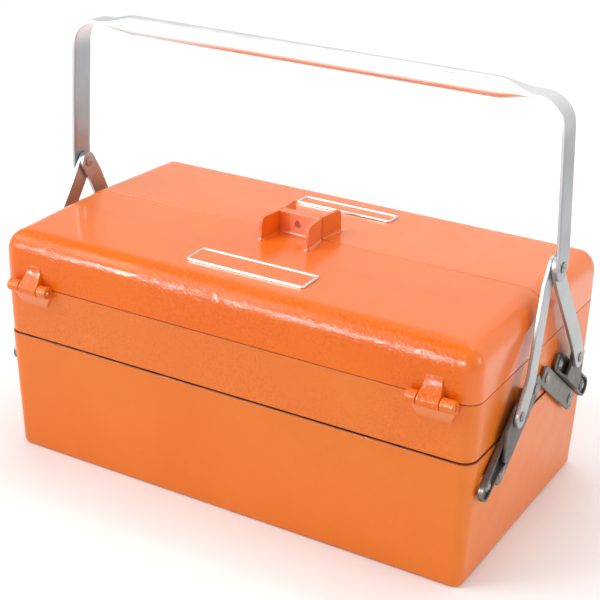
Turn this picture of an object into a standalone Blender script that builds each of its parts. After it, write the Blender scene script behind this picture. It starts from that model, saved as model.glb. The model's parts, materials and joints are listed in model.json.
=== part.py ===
"""Cantilever tool box of cast aluminium: a deep base, two half-width upper trays that swing out on links, a lid hinged
on the outer edge of each tray, a padlock hasp where the lids meet, and a flattened-tube bail handle on four straps.
Millimetres in the constants, metres in the scene. +X is the long way, the front lid is on -Y, z = 0 is the underside."""

import math

import bmesh
import bpy
from mathutils import Matrix, Vector

MM = 0.001
GAP = 0.3

# Outline half sizes and levels
HALF_L = 215.0
HALF_W = 120.4
BASE_TOP = 107.75
BASE_DRAFT = 4.5
BASE_WALL = 3.0
BASE_FLOOR = 3.2
TRAY_BOTTOM = 108.05
TRAY_TOP = 155.6
TRAY_DRAFT = 1.1
TRAY_WALL = 2.6
LID_BOTTOM = 155.95
LID_EDGE_TOP = 198.3
LID_CROWN = 3.4
LID_WALL = 2.6
LID_ROUND = 18.5
CORNER = 10.0
SPLIT = 0.35

# Lid hinges
HINGE_Y = 126.2
HINGE_Z = 155.5
KNUCKLE_R = 5.45
BARREL_R = 5.2
PIN_R = 2.2
BARREL_IN = (163.0, 172.0)
KNUCKLE = (172.4, 190.4)
BARREL_OUT = (190.8, 202.0)

# Link pivots at an end, as distance from the split and height
CRANK_LOW = (96.8, 82.8)
PLAIN_LOW = (70.2, 81.4)
LINK = (58.8, 44.0)
LINK_X = (215.8, 218.3)
PAD_X = 215.4
PLAIN_HALF = 8.3
CRANK_HALF = 8.2
EAR_X = (221.2, 223.7)
EAR_PIVOT = (60.0, 126.0)  # strap pivot on the crank link's ear, from the split and in height
RIVET_R = 2.5
HOLE_R = 2.8
HEAD_R = 4.3

# Straps and handle
STRAP_HALF = 8.5
STRAP_T = 3.0
STRAP_LOW_X = 224.0
STRAP_END = 9.0
PIVOT_Z = 223.8
LAYER_IN = 216.4
LAYER_MID = 219.7
LEG_X = 223.0
LEG_T = 3.0
LEG_HALF = 11.0
GRIP_Z = 352.3
GRIP_R = 8.3
BEND_R = 22.5


def clear_scene():
    for obj in list(bpy.data.objects):
        bpy.data.objects.remove(obj, do_unlink=True)
    for block in (bpy.data.meshes, bpy.data.materials, bpy.data.curves):
        for item in list(block):
            block.remove(item)


def material(name, colour, metallic, roughness):
    mat = bpy.data.materials.new(name)
    mat.use_nodes = True
    shader = mat.node_tree.nodes["Principled BSDF"]
    shader.inputs["Base Color"].default_value = (*colour, 1.0)
    shader.inputs["Metallic"].default_value = metallic
    shader.inputs["Roughness"].default_value = roughness
    mat.diffuse_color = (*colour, 1.0)
    return mat


def mesh_object(name, verts, faces, mat=None, origin=(0.0, 0.0, 0.0), smooth=None):
    """One closed mesh given in millimetres; its origin goes to the given point."""
    mesh = bpy.data.meshes.new(name)
    o = Vector(origin)
    mesh.from_pydata([(Vector(v) - o) * MM for v in verts], [], faces)
    bm = bmesh.new()
    bm.from_mesh(mesh)
    bmesh.ops.remove_doubles(bm, verts=bm.verts, dist=1e-6)
    bmesh.ops.recalc_face_normals(bm, faces=bm.faces)
    if bm.calc_volume(signed=True) < 0:
        bmesh.ops.reverse_faces(bm, faces=bm.faces)
    bm.to_mesh(mesh)
    bm.free()
    obj = bpy.data.objects.new(name, mesh)
    obj.location = o * MM
    bpy.context.scene.collection.objects.link(obj)
    if mat:
        mesh.materials.append(mat)
    if smooth:
        mesh.shade_smooth()
        mesh.set_sharp_from_angle(angle=math.radians(smooth))
    return obj


def loft(loops, closed_ends=True):
    """Faces through loops of equal length, capped at both ends."""
    n = len(loops[0])
    verts = [v for loop in loops for v in loop]
    faces = []
    for k in range(len(loops) - 1):
        for i in range(n):
            j = (i + 1) % n
            faces.append((k * n + i, k * n + j, (k + 1) * n + j, (k + 1) * n + i))
    if closed_ends:
        faces.append(tuple(range(n))[::-1])
        faces.append(tuple((len(loops) - 1) * n + i for i in range(n)))
    return verts, faces


def merge(parts):
    verts, faces = [], []
    for v, f in parts:
        base = len(verts)
        verts += v
        faces += [tuple(base + i for i in face) for face in f]
    return verts, faces


def prism(polygon, x0, x1, axis=0):
    """A polygon given in the two other axes, extruded along one axis."""
    def put(a, p):
        if axis == 0:
            return (a, p[0], p[1])
        if axis == 1:
            return (p[0], a, p[1])
        return (p[0], p[1], a)
    return loft([[put(x0, p) for p in polygon], [put(x1, p) for p in polygon]])


def circle(cx, cy, r, n, start=0.0):
    return [(cx + r * math.cos(start + 2 * math.pi * i / n), cy + r * math.sin(start + 2 * math.pi * i / n)) for i in range(n)]


def cylinder(cy, cz, r, x0, x1, n=20):
    return prism(circle(cy, cz, r, n), x0, x1)


def helper(name, parts):
    obj = mesh_object(name, *merge(parts))
    obj.hide_render = True
    obj.display_type = "WIRE"
    return obj


def boolean(obj, name, parts, operation):
    tool = helper(obj.name + "_" + name, parts)
    mod = obj.modifiers.new(name, "BOOLEAN")
    mod.operation = operation
    mod.solver = "EXACT"
    mod.object = tool


def outline(x0, x1, y0, y1, radii, segs):
    """Rounded rectangle, counter-clockwise from the (x1, y1) corner; seg 0 keeps a corner square."""
    corners = ((x1, y1, 0), (x0, y1, 90), (x0, y0, 180), (x1, y0, 270))
    pts = []
    for (cx, cy, a0), r, n in zip(corners, radii, segs):
        sx = 1 if cx == x1 else -1
        sy = 1 if cy == y1 else -1
        if n == 0:
            pts.append((cx, cy))
            continue
        for i in range(n + 1):
            a = math.radians(a0 + 90 * i / n)
            pts.append((cx - sx * r + r * math.cos(a), cy - sy * r + r * math.sin(a)))
    return pts


def full_loop(inset, z, half_l=HALF_L, half_w=HALF_W, seg=4):
    r = max(CORNER - inset, 3.0)
    a, b = half_l - inset, half_w - inset
    return [(x, y, z) for x, y in outline(-a, a, -b, b, (r,) * 4, (seg,) * 4)]


def half_loop(inset, z, split=SPLIT, half_w=HALF_W, seg=4):
    """Outline of a front half; z may be a function of y."""
    r = max(CORNER - inset, 3.0)
    a, b = HALF_L - inset, half_w - inset
    pts = outline(-a, a, -b, -split, (0, 0, r, r), (0, 0, seg, seg))
    return [(x, y, z(y) if callable(z) else z) for x, y in pts]


def turned(parts, half_turn):
    """Front geometry as it is, or turned half a turn about Z for the rear."""
    if not half_turn:
        return parts
    return [([(-x, -y, z) for x, y, z in v], f) for v, f in parts]


def arc(cy, cz, r, a0, a1, n):
    return [(cy + r * math.cos(math.radians(a0 + (a1 - a0) * i / n)), cz + r * math.sin(math.radians(a0 + (a1 - a0) * i / n))) for i in range(n + 1)]


def barrel_profile():
    """Hinge barrel of a tray with the rib that carries it, in (y, z) at the front."""
    pts = arc(-HINGE_Y, HINGE_Z, BARREL_R, -2, 214, 10)
    return [(-117.6, HINGE_Z - 0.2)] + pts + [(-118.9, 139.5), (-117.6, 139.5)]


def web_profile():
    """Web of a tray under the lid's knuckle, between the two barrels' ribs."""
    return [(-117.6, 149.5), (-124.0, 149.5), (-118.9, 139.5), (-117.6, 139.5)]


def knuckle_profile():
    """Hinge knuckle of a lid with the ramp that runs up its face."""
    low = arc(-HINGE_Y, HINGE_Z, KNUCKLE_R, 9, -166, 10)
    return [(-117.6, LID_BOTTOM + 0.35)] + low + [(-128.4, 162.5), (-124.6, 167.8), (-118.9, 173.0), (-117.6, 173.0)]


def hasp_parts():
    """Front half of the hasp: a wall along the split and two cheeks."""
    foot = LID_EDGE_TOP - 1.2
    top = 220.6
    wall = outline(-20.2, 20.2, foot, top, (0, 0, 0, 0), (0, 0, 0, 0))
    wall_part = prism(wall, -4.0, -0.6, axis=1)
    cheek = [(-0.6, foot), (-0.6, top)] + arc(-22.6, top - 0.4 - 4.0, 4.0, 90, 180, 4) + [(-27.6, foot)]
    return wall_part, prism(cheek, -20.2, -17.2), prism(cheek, 17.2, 20.2)


def make_base(mat):
    a = BASE_DRAFT / BASE_TOP
    def out(z):
        return 0.4 + (BASE_TOP - z) * a
    r = 3.0
    loops = []
    for t in (0, 45, 90):
        t = math.radians(t)
        z = r - r * math.cos(t)
        loops.append(full_loop(out(z) + r - r * math.sin(t), z))
    loops.append(full_loop(out(BASE_TOP - 0.6), BASE_TOP - 0.6))
    loops.append(full_loop(out(BASE_TOP) + 0.6, BASE_TOP))
    loops.append(full_loop(out(BASE_TOP) + BASE_WALL, BASE_TOP))
    ri = 5.0
    for t in (0, 45, 90):
        t = math.radians(t)
        z = BASE_FLOOR + ri - ri * math.sin(t)
        loops.append(full_loop(out(z) + BASE_WALL + ri - ri * math.cos(t), z))
    obj = mesh_object("base", *loft(loops), mat, smooth=35)
    pads, holes = [], []
    for s in (1, -1):
        for q in (1, -1):
            for y, z in (CRANK_LOW, PLAIN_LOW):
                pads.append(cylinder(q * y, z, 7.5, s * 211.8, s * PAD_X, 12))
                holes.append(cylinder(q * y, z, HOLE_R, s * 205.0, s * 219.0, 12))
    boolean(obj, "pads", pads, "UNION")
    boolean(obj, "holes", holes, "DIFFERENCE")
    return obj


def link_up(low):
    return (low[0] - LINK[0], low[1] + LINK[1])


def make_tray(name, rear, mat):
    a = TRAY_DRAFT / (TRAY_TOP - TRAY_BOTTOM)
    def out(z):
        return (TRAY_TOP - z) * a
    r = 1.5
    loops = [half_loop(out(TRAY_BOTTOM) + r, TRAY_BOTTOM), half_loop(out(TRAY_BOTTOM + r), TRAY_BOTTOM + r),
             half_loop(out(TRAY_TOP - 0.5), TRAY_TOP - 0.5), half_loop(0.5, TRAY_TOP),
             half_loop(TRAY_WALL, TRAY_TOP, SPLIT + TRAY_WALL)]
    ri = 4.0
    for t in (0, 45, 90):
        t = math.radians(t)
        z = TRAY_BOTTOM + 2.8 + ri - ri * math.sin(t)
        k = ri - ri * math.cos(t)
        loops.append(half_loop(out(z) + TRAY_WALL + k, z, SPLIT + TRAY_WALL + k))
    verts, faces = turned([loft(loops)], rear)[0]
    obj = mesh_object(name, verts, faces, mat, smooth=35)
    pads, holes, barrels, bores, webs = [], [], [], [], []
    for s in (1, -1):
        for low in (CRANK_LOW, PLAIN_LOW):
            y, z = link_up(low)
            pads.append(cylinder(-y, z, 7.5, s * 212.9, s * PAD_X, 12))
            holes.append(cylinder(-y, z, HOLE_R, s * 205.0, s * 219.0, 12))
        for x0, x1 in (BARREL_IN, BARREL_OUT):
            barrels.append(prism(barrel_profile(), s * x0, s * x1))
        webs.append(prism(web_profile(), s * (BARREL_IN[1] - 1.0), s * (BARREL_OUT[0] + 1.0)))
        bores.append(cylinder(-HINGE_Y, HINGE_Z, PIN_R + GAP, s * 160.0, s * 205.0, 16))
    boolean(obj, "bosses", turned(pads + barrels, rear), "UNION")
    boolean(obj, "webs", turned(webs, rear), "UNION")
    boolean(obj, "holes", turned(holes + bores, rear), "DIFFERENCE")
    return obj


def make_lid(name, rear, mat):
    slope = LID_CROWN / HALF_W
    def top(y):
        return LID_EDGE_TOP + LID_CROWN + slope * y
    loops = [half_loop(0.5, LID_BOTTOM), half_loop(0.0, LID_BOTTOM + 0.5)]
    for t in (0, 15, 30, 45, 60, 75, 90):
        t = math.radians(t)
        drop = LID_ROUND - LID_ROUND * math.sin(t)
        loops.append(half_loop(LID_ROUND - LID_ROUND * math.cos(t), lambda y, d=drop: top(y) - d))
    outer_top = len(loops)
    inner = []
    ri = LID_ROUND - LID_WALL
    for t in (0, 30, 60, 90):
        t = math.radians(t)
        drop = LID_WALL + ri - ri * math.sin(t)
        inner.append(half_loop(LID_WALL + ri - ri * math.cos(t), lambda y, d=drop: top(y) - d, SPLIT + LID_WALL))
    loops = inner[::-1] + [half_loop(LID_WALL, LID_BOTTOM, SPLIT + LID_WALL)] + loops
    assert outer_top
    verts, faces = turned([loft(loops)], rear)[0]
    obj = mesh_object(name, verts, faces, mat, origin=(0, (HINGE_Y if rear else -HINGE_Y), HINGE_Z), smooth=35)
    wall, left, right = hasp_parts()
    knuckles = [prism(knuckle_profile(), s * KNUCKLE[0], s * KNUCKLE[1]) for s in (1, -1)]
    boolean(obj, "hasp_wall", turned([wall] + knuckles, rear), "UNION")
    boolean(obj, "hasp_cheeks", turned([left, right], rear), "UNION")
    hole = prism(circle(0.0, 211.5, 3.3, 16), -8.0, 4.0, axis=1)
    bores = [cylinder(-HINGE_Y, HINGE_Z, PIN_R + GAP, s * 168.0, s * 195.0, 16) for s in (1, -1)]
    boolean(obj, "bores", turned([hole] + bores, rear), "DIFFERENCE")
    return obj


def revolve(profile, cy, cz, s, n=10):
    """A turned piece on an X axis: profile of (x, radius) from axis to axis."""
    verts, faces = [], []
    rings = []
    for x, r in profile:
        if r == 0:
            rings.append([len(verts)])
            verts.append((s * x, cy, cz))
        else:
            rings.append(list(range(len(verts), len(verts) + n)))
            verts += [(s * x, cy + r * math.cos(2 * math.pi * (i + 0.5) / n), cz + r * math.sin(2 * math.pi * (i + 0.5) / n)) for i in range(n)]
    for a, b in zip(rings, rings[1:]):
        for i in range(n):
            j = (i + 1) % n
            if len(a) == 1:
                faces.append((a[0], b[i], b[j]))
            elif len(b) == 1:
                faces.append((a[j], a[i], b[0]))
            else:
                faces.append((a[i], a[j], b[j], b[i]))
    return verts, faces


def make_turned(name, profile, cy, cz, s, mat, n=10):
    verts, faces = revolve(profile, cy, cz, s, n)
    return mesh_object(name, verts, faces, mat, origin=(s * profile[0][0], cy, cz), smooth=40)


def rivet_profile(tail_x, grip_in, grip_out, head_r=HEAD_R, head_h=1.8):
    """Flat set head inside, shank, domed head outside."""
    return [(tail_x, 0), (tail_x, head_r - 0.3), (grip_in, head_r - 0.3), (grip_in, RIVET_R), (grip_out, RIVET_R),
            (grip_out, head_r), (grip_out + 0.55 * head_h, head_r - 0.4), (grip_out + head_h, 0.45 * head_r), (grip_out + head_h, 0)]


def rounded_bar(u0, u1, half, r, seg=3):
    return outline(u0, u1, -half, half, (r,) * 4, (seg,) * 4)


def link_map(low, q):
    """From (along, across) a link at rest to (y, z); q is -1 at the front and 1 at the rear."""
    length = math.hypot(*LINK)
    uy, uz = -LINK[0] / length, LINK[1] / length
    vy, vz = LINK[1] / length, LINK[0] / length
    return lambda u, v: (q * (low[0] + u * uy + v * vy), low[1] + u * uz + v * vz)


def plate(points, to_yz, x0, x1):
    return prism([to_yz(u, v) for u, v in points], x0, x1)


LINK_LEN = math.hypot(*LINK)


def make_plain_link(name, q, s, mat):
    to = link_map(PLAIN_LOW, q)
    y, z = q * PLAIN_LOW[0], PLAIN_LOW[1]
    verts, faces = plate(rounded_bar(-9.5, LINK_LEN + 10.5, PLAIN_HALF, 5.5), to, s * LINK_X[0], s * LINK_X[1])
    obj = mesh_object(name, verts, faces, mat, origin=(s * LINK_X[0], y, z), smooth=35)
    up = link_up(PLAIN_LOW)
    boolean(obj, "holes", [cylinder(y, z, HOLE_R, s * 214.0, s * 220.0, 12), cylinder(q * up[0], up[1], HOLE_R, s * 214.0, s * 220.0, 12)], "DIFFERENCE")
    return obj


def make_crank_link(name, q, s, mat):
    """Channel-section link: web, a low outer flange, and an inner flange that rises to a folded-over ear for the strap."""
    to = link_map(CRANK_LOW, q)
    y, z = q * CRANK_LOW[0], CRANK_LOW[1]
    x0, x1 = LINK_X
    web = plate(rounded_bar(-12.0, LINK_LEN + 9.5, CRANK_HALF, 6.0), to, s * x0, s * x1)
    obj = mesh_object(name, *web, mat, origin=(s * x0, y, z), smooth=35)
    # low outer flange along the whole link
    outer = prism([to(u, v) for u, v in ((-7.0, 6.1), (LINK_LEN + 4.5, 6.1), (LINK_LEN + 4.5, 8.1), (-7.0, 8.1))], s * (x0 + 0.4), s * 220.6)
    # inner flange, a wedge in height
    loops = []
    for u, h in ((-7.0, 220.3), (14.0, 220.9), (27.0, 223.3), (62.0, 223.3), (LINK_LEN + 4.5, 220.3)):
        loops.append([(s * (x0 + 0.5), *to(u, -8.1)), (s * (x0 + 0.5), *to(u, -6.0)), (s * h, *to(u, -6.0)), (s * h, *to(u, -8.1))])
    inner = loft(loops)
    boolean(obj, "flanges", [outer, inner], "UNION")
    # ear: a plate parallel to the web, folded over from the inner flange, carrying the strap pivot
    ey, ez = EAR_PIVOT
    low_in, low_out = to(62.0, -8.1), to(24.0, -8.1)
    ear = [(q * abs(low_in[0]), low_in[1]), (q * abs(low_out[0]), low_out[1]), (q * 78.5, 96.0), (q * 78.0, 119.0), (q * 74.0, 124.0)]
    ear += [(q * (ey + 9.0 * math.cos(math.radians(a))), ez + 9.0 * math.sin(math.radians(a))) for a in (20, 45, 70, 95, 120, 145, 170)]
    ear += [(q * (ey - 10.0), ez - 5.0)]
    boolean(obj, "ear", [prism(ear, s * EAR_X[0], s * EAR_X[1])], "UNION")
    ey *= q
    up = link_up(CRANK_LOW)
    holes = [cylinder(y, z, HOLE_R, s * 214.0, s * 222.5, 12), cylinder(q * up[0], up[1], HOLE_R, s * 214.0, s * 222.5, 12),
             cylinder(ey, ez, HOLE_R, s * 219.5, s * 226.0, 12)]
    boolean(obj, "holes", holes, "DIFFERENCE")
    return obj


def strap_pivot(q):
    return q * EAR_PIVOT[0], EAR_PIVOT[1]


def make_strap(name, q, s, top_x, mat):
    """Flat strap from the handle pivot to a crank link's ear, joggled outwards between them."""
    ey, ez = strap_pivot(q)
    length = math.hypot(ey, PIVOT_Z - ez)
    dy, dz = ey / length, (ez - PIVOT_Z) / length
    ny, nz = -dz, dy
    def inner_x(t):
        if t < 19:
            return top_x
        if t > 80:
            return STRAP_LOW_X
        k = (t - 19) / 61
        return top_x + (STRAP_LOW_X - top_x) * k
    stations = []
    for a in (90, 60, 35, 12):
        stations.append((-STRAP_END * math.sin(math.radians(a)), STRAP_HALF * math.cos(math.radians(a)) if a < 90 else 1.6))
    for t in (6.0, 19.0, 39.0, 60.0, 80.0, length - 6.0):
        stations.append((t, STRAP_HALF))
    for a in (12, 35, 60, 90):
        stations.append((length + STRAP_END * math.sin(math.radians(a)), STRAP_HALF * math.cos(math.radians(a)) if a < 90 else 1.6))
    loops = []
    for t, w in stations:
        x = inner_x(t)
        a = (dy * t + ny * w, PIVOT_Z + dz * t + nz * w)
        b = (dy * t - ny * w, PIVOT_Z + dz * t - nz * w)
        loops.append([(s * x, *a), (s * (x + STRAP_T), *a), (s * (x + STRAP_T), *b), (s * x, *b)])
    origin = (s * top_x, 0.0, PIVOT_Z)
    obj = mesh_object(name, *loft(loops), mat, origin=origin, smooth=35)
    holes = [cylinder(0.0, PIVOT_Z, HOLE_R, s * (top_x - 2), s * (top_x + STRAP_T + 2), 12),
             cylinder(ey, ez, HOLE_R, s * (STRAP_LOW_X - 2), s * (STRAP_LOW_X + STRAP_T + 2), 12)]
    boolean(obj, "holes", holes, "DIFFERENCE")
    return obj


def section(w, t, k, n=16):
    """Cross-section (across y, through thickness) that blends a flat bar (k = 0) into a round tube (k = 1)."""
    pts = []
    for i in range(n):
        a = 2 * math.pi * (i + 0.5) / n
        c, d = math.cos(a), math.sin(a)
        flat = (math.copysign(abs(c) ** 0.45, c) * w, math.copysign(abs(d) ** 0.35, d) * t)
        pts.append((flat[0] * (1 - k) + c * GRIP_R * k, flat[1] * (1 - k) + d * GRIP_R * k))
    return pts


def handle_path():
    """Stations (x, z, direction angle, roundness) along the right half, from the foot to the middle of the grip."""
    leg = []
    lean = math.atan2(4.9, 93.0)
    foot_x = LEG_X + 0.5 * LEG_T
    for z in (PIVOT_Z - 11.0, PIVOT_Z - 7.0, PIVOT_Z, PIVOT_Z + 9.0):
        leg.append((foot_x, z, 90.0, 0.0))
    corner_z = GRIP_Z - BEND_R
    z0 = PIVOT_Z + 16.0
    top_x = foot_x - (corner_z - z0) * math.tan(lean)
    leg.append((foot_x - 0.1, z0, 90.0 + math.degrees(lean) / 2, 0.0))
    leg.append((top_x, corner_z, 90.0 + math.degrees(lean), 0.0))
    cx = top_x - BEND_R
    for a in (15, 30, 45, 60, 75, 90):
        r = math.radians(a)
        leg.append((cx + BEND_R * math.cos(r), corner_z + BEND_R * math.sin(r), 90.0 + a, 0.0))
    start = cx - 1.0
    for i, k in enumerate((0.08, 0.3, 0.62, 0.88, 1.0)):
        leg.append((start - 5.0 - 5.5 * i, GRIP_Z, 180.0, k))
    leg.append((60.0, GRIP_Z, 180.0, 1.0))
    return leg


def make_handle(name, mat):
    right = handle_path()
    loops = []
    for x, z, ang, k in right:
        a = math.radians(ang)
        nx, nz = -math.sin(a), math.cos(a)
        w = LEG_HALF
        if z < PIVOT_Z - 10.0:
            w = 6.0
        elif z < PIVOT_Z - 5.0:
            w = 9.6
        loops.append([(x + nx * v, y, z + nz * v) for y, v in section(w, 0.5 * LEG_T, k)])
    left = []
    for loop in reversed(loops):
        left.append([(-x, y, z) for x, y, z in loop])
    verts, faces = loft(loops + left)
    obj = mesh_object(name, verts, faces, mat, origin=(0, 0, PIVOT_Z), smooth=40)
    boolean(obj, "holes", [cylinder(0, PIVOT_Z, HOLE_R, s * 220.0, s * 229.0, 12) for s in (1, -1)], "DIFFERENCE")
    return obj


def make_badge(name, rear, cx, cy, half_x, half_y, mat):
    """Blank raised plate with a shallow sunk field, lying on the sloping lid top."""
    slope = LID_CROWN / HALF_W
    def top(y):
        return LID_EDGE_TOP + LID_CROWN - slope * abs(y) + GAP
    loops = []
    for inset, h in ((0, 0.0), (0, 1.0), (0.4, 1.4), (2.2, 1.4), (2.6, 0.9)):
        pts = outline(cx - half_x + inset, cx + half_x - inset, cy - half_y + inset, cy + half_y - inset, (3.6 - inset,) * 4, (3,) * 4)
        loops.append([(x, y, top(y) + h) for x, y in pts])
    return mesh_object(name, *loft(loops), mat, origin=(cx, cy, top(cy)), smooth=30)


def build():
    clear_scene()
    bpy.context.scene.unit_settings.system = "METRIC"
    paint = material("paint_orange", (0.75, 0.16, 0.02), 0.0, 0.38)
    steel = material("link_steel", (0.13, 0.125, 0.12), 0.9, 0.42)
    alu = material("handle_aluminium", (0.62, 0.64, 0.64), 0.95, 0.36)
    rivet = material("rivet_steel", (0.45, 0.45, 0.44), 1.0, 0.33)
    bare = material("bare_metal", (0.78, 0.78, 0.77), 0.9, 0.42)
    pin = material("pin_steel", (0.6, 0.6, 0.6), 1.0, 0.3)

    make_base(paint)
    for rear, word in ((False, "front"), (True, "rear")):
        make_tray(word + "_tray", rear, paint)
        make_lid(word + "_lid", rear, paint)
        q = 1 if rear else -1
        for s, side in ((1, "right"), (-1, "left")):
            profile = [(162.4, 0), (162.4, PIN_R - 0.4), (162.8, PIN_R), (201.6, PIN_R), (202.0, PIN_R - 0.4), (202.0, 0)]
            make_turned(f"hinge_pin_{word}_{side}", profile, q * HINGE_Y, HINGE_Z, s, pin)

    for s, side in ((1, "right"), (-1, "left")):
        for q, word in ((-1, "front"), (1, "rear")):
            make_plain_link(f"plain_link_{word}_{side}", q, s, steel)
            make_crank_link(f"crank_link_{word}_{side}", q, s, steel)
            for kind, low in (("crank", CRANK_LOW), ("plain", PLAIN_LOW)):
                base_in = HALF_L - 0.4 - (BASE_TOP - low[1]) * BASE_DRAFT / BASE_TOP - BASE_WALL - GAP
                make_turned(f"{kind}_base_rivet_{word}_{side}", rivet_profile(base_in - 1.6, base_in, LINK_X[1] + GAP), q * low[0], low[1], s, rivet)
                up = link_up(low)
                tray_in = HALF_L - (TRAY_TOP - up[1]) * TRAY_DRAFT / (TRAY_TOP - TRAY_BOTTOM) - TRAY_WALL - GAP
                make_turned(f"{kind}_tray_rivet_{word}_{side}", rivet_profile(tray_in - 1.6, tray_in, LINK_X[1] + GAP), q * up[0], up[1], s, rivet)
            # the innermost strap at each end belongs to the front on the right and to the rear on the left
            inner = (q == -1) == (s == 1)
            top_x = LAYER_IN if inner else LAYER_MID
            make_strap(f"strap_{word}_{side}", q, s, top_x, alu)
            ey, ez = strap_pivot(q)
            head = STRAP_LOW_X + STRAP_T + GAP
            # the strap's lower pivot stops at the strap's inner face, so the ear can pass under it
            profile = [(STRAP_LOW_X, 0), (STRAP_LOW_X, RIVET_R), (head, RIVET_R), (head, 4.2), (head + 0.9, 3.8), (head + 1.6, 1.9), (head + 1.6, 0)]
            make_turned(f"strap_rivet_{word}_{side}", profile, ey, ez, s, rivet)
        make_turned(f"handle_pivot_{side}", rivet_profile(LAYER_IN - GAP - 0.8, LAYER_IN - GAP, LEG_X + LEG_T + GAP, 4.4, 1.6), 0.0, PIVOT_Z, s, rivet)
    make_handle("handle", alu)
    make_badge("front_badge", False, 3.0, -79.0, 54.0, 13.0, bare)
    make_badge("rear_badge", True, 1.0, 78.0, 46.0, 9.5, bare)


build()
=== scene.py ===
"""Looks of the cantilever tool box: smooth cast shells in orange enamel, flattened-tube handle, straps, links and
rivets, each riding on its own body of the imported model. Lengths are in millimetres, and turned to metres on the way in."""

import json
import math

import bmesh
import bpy
from mathutils import Matrix, Vector


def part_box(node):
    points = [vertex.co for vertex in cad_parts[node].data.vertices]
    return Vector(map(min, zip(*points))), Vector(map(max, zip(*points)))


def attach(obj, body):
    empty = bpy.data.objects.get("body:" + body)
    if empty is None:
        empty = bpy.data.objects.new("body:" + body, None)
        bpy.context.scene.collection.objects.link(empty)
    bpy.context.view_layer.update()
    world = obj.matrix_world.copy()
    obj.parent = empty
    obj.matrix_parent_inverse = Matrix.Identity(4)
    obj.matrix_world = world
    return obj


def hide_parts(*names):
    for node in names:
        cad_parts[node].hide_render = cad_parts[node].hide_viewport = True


MM = 0.001
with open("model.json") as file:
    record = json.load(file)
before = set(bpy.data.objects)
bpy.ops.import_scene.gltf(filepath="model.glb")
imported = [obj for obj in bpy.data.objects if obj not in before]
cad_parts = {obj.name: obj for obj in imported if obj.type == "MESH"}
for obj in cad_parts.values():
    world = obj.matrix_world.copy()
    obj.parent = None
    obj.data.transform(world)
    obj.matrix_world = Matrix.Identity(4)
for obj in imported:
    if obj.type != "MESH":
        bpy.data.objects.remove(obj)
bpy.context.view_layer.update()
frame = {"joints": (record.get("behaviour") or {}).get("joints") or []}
joints = {j["name"]: j for j in frame["joints"]}


def size(node):
    lo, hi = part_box(node)
    return [v * 1000 for v in lo], [v * 1000 for v in hi]


def pivot(name):
    return [v * 1000 for v in joints[name]["pos_m"]]


# sizes read from the model
base_lo, base_hi = size("base")
tray_lo, tray_hi = size("front_tray")
lid_lo, lid_hi = size("front_lid")
HALF_L = lid_hi[0]
SPLIT = 0.35
HALF_W = 120.4
BASE_TOP = base_hi[2]
TRAY_BOTTOM = tray_lo[2]
TRAY_TOP = 155.6
LID_BOTTOM = 155.95
LID_EDGE_TOP, LID_CROWN, LID_ROUND = 198.3, 3.4, 18.5
BASE_DRAFT, TRAY_DRAFT = 4.5, 1.1
BASE_WALL, TRAY_WALL, LID_WALL, BASE_FLOOR = 3.0, 2.6, 2.6, 3.2
CORNER = 13.0
_, HINGE_Y, HINGE_Z = pivot("rear_lid_hinge")
KNUCKLE_R, BARREL_R, PIN_R = 5.45, 5.2, 2.2
BARREL_IN, KNUCKLE, BARREL_OUT = (163.0, 172.0), (172.4, 190.4), (190.8, 202.0)
CRANK_LOW = tuple(pivot("crank_rear_right_turn")[1:])
PLAIN_LOW = tuple(pivot("plain_rear_right_turn")[1:])
_up = pivot("rear_tray_level")
LINK = (CRANK_LOW[0] - _up[1], _up[2] - CRANK_LOW[1])
LINK_LEN = math.hypot(*LINK)
LINK_X = (215.8, 218.3)
PAD_X = 215.4
PLAIN_HALF, CRANK_HALF = 8.3, 8.2
EAR_X = (221.2, 223.7)
EAR_PIVOT = (60.0, 126.0)
STRAP_HALF, STRAP_T, STRAP_LOW_X, STRAP_END = 8.5, 3.0, 224.0, 9.0
PIVOT_Z = pivot("handle_swing")[2]
LAYER_IN, LAYER_MID = 216.4, 219.7
LEG_X, LEG_T, LEG_HALF = 223.0, 3.0, 11.0
handle_lo, handle_hi = size("handle")
GRIP_R = 8.3
GRIP_Z = handle_hi[2] - GRIP_R
BEND_R = 22.5
HOLE_R, RIVET_R = 2.8, 2.5


# ---------------------------------------------------------------- mesh tools

def loft(loops, cap_start=True, cap_end=True):
    n = len(loops[0])
    verts = [v for loop in loops for v in loop]
    faces = []
    for k in range(len(loops) - 1):
        for i in range(n):
            j = (i + 1) % n
            faces.append((k * n + i, k * n + j, (k + 1) * n + j, (k + 1) * n + i))
    if cap_start:
        faces.append(tuple(range(n))[::-1])
    if cap_end:
        faces.append(tuple((len(loops) - 1) * n + i for i in range(n)))
    return verts, faces


def raw_mesh(name, verts, faces):
    mesh = bpy.data.meshes.new(name)
    mesh.from_pydata([Vector(v) * MM for v in verts], [], faces)
    bm = bmesh.new()
    bm.from_mesh(mesh)
    bmesh.ops.remove_doubles(bm, verts=bm.verts, dist=1e-6)
    bmesh.ops.recalc_face_normals(bm, faces=bm.faces)
    if bm.calc_volume(signed=True) < 0:
        bmesh.ops.reverse_faces(bm, faces=bm.faces)
    bm.to_mesh(mesh)
    bm.free()
    obj = bpy.data.objects.new(name, mesh)
    bpy.context.scene.collection.objects.link(obj)
    return obj


def bevel(obj, width, segments=2, angle=40.0):
    mod = obj.modifiers.new("edge", "BEVEL")
    mod.width = width * MM
    mod.segments = segments
    mod.limit_method = "ANGLE"
    mod.angle_limit = math.radians(angle)
    mod.harden_normals = False
    return obj


def bake(obj):
    """Its modifiers, made into its mesh."""
    graph = bpy.context.evaluated_depsgraph_get()
    graph.update()
    made = bpy.data.meshes.new_from_object(obj.evaluated_get(graph))
    obj.modifiers.clear()
    obj.data = made
    return obj


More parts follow.
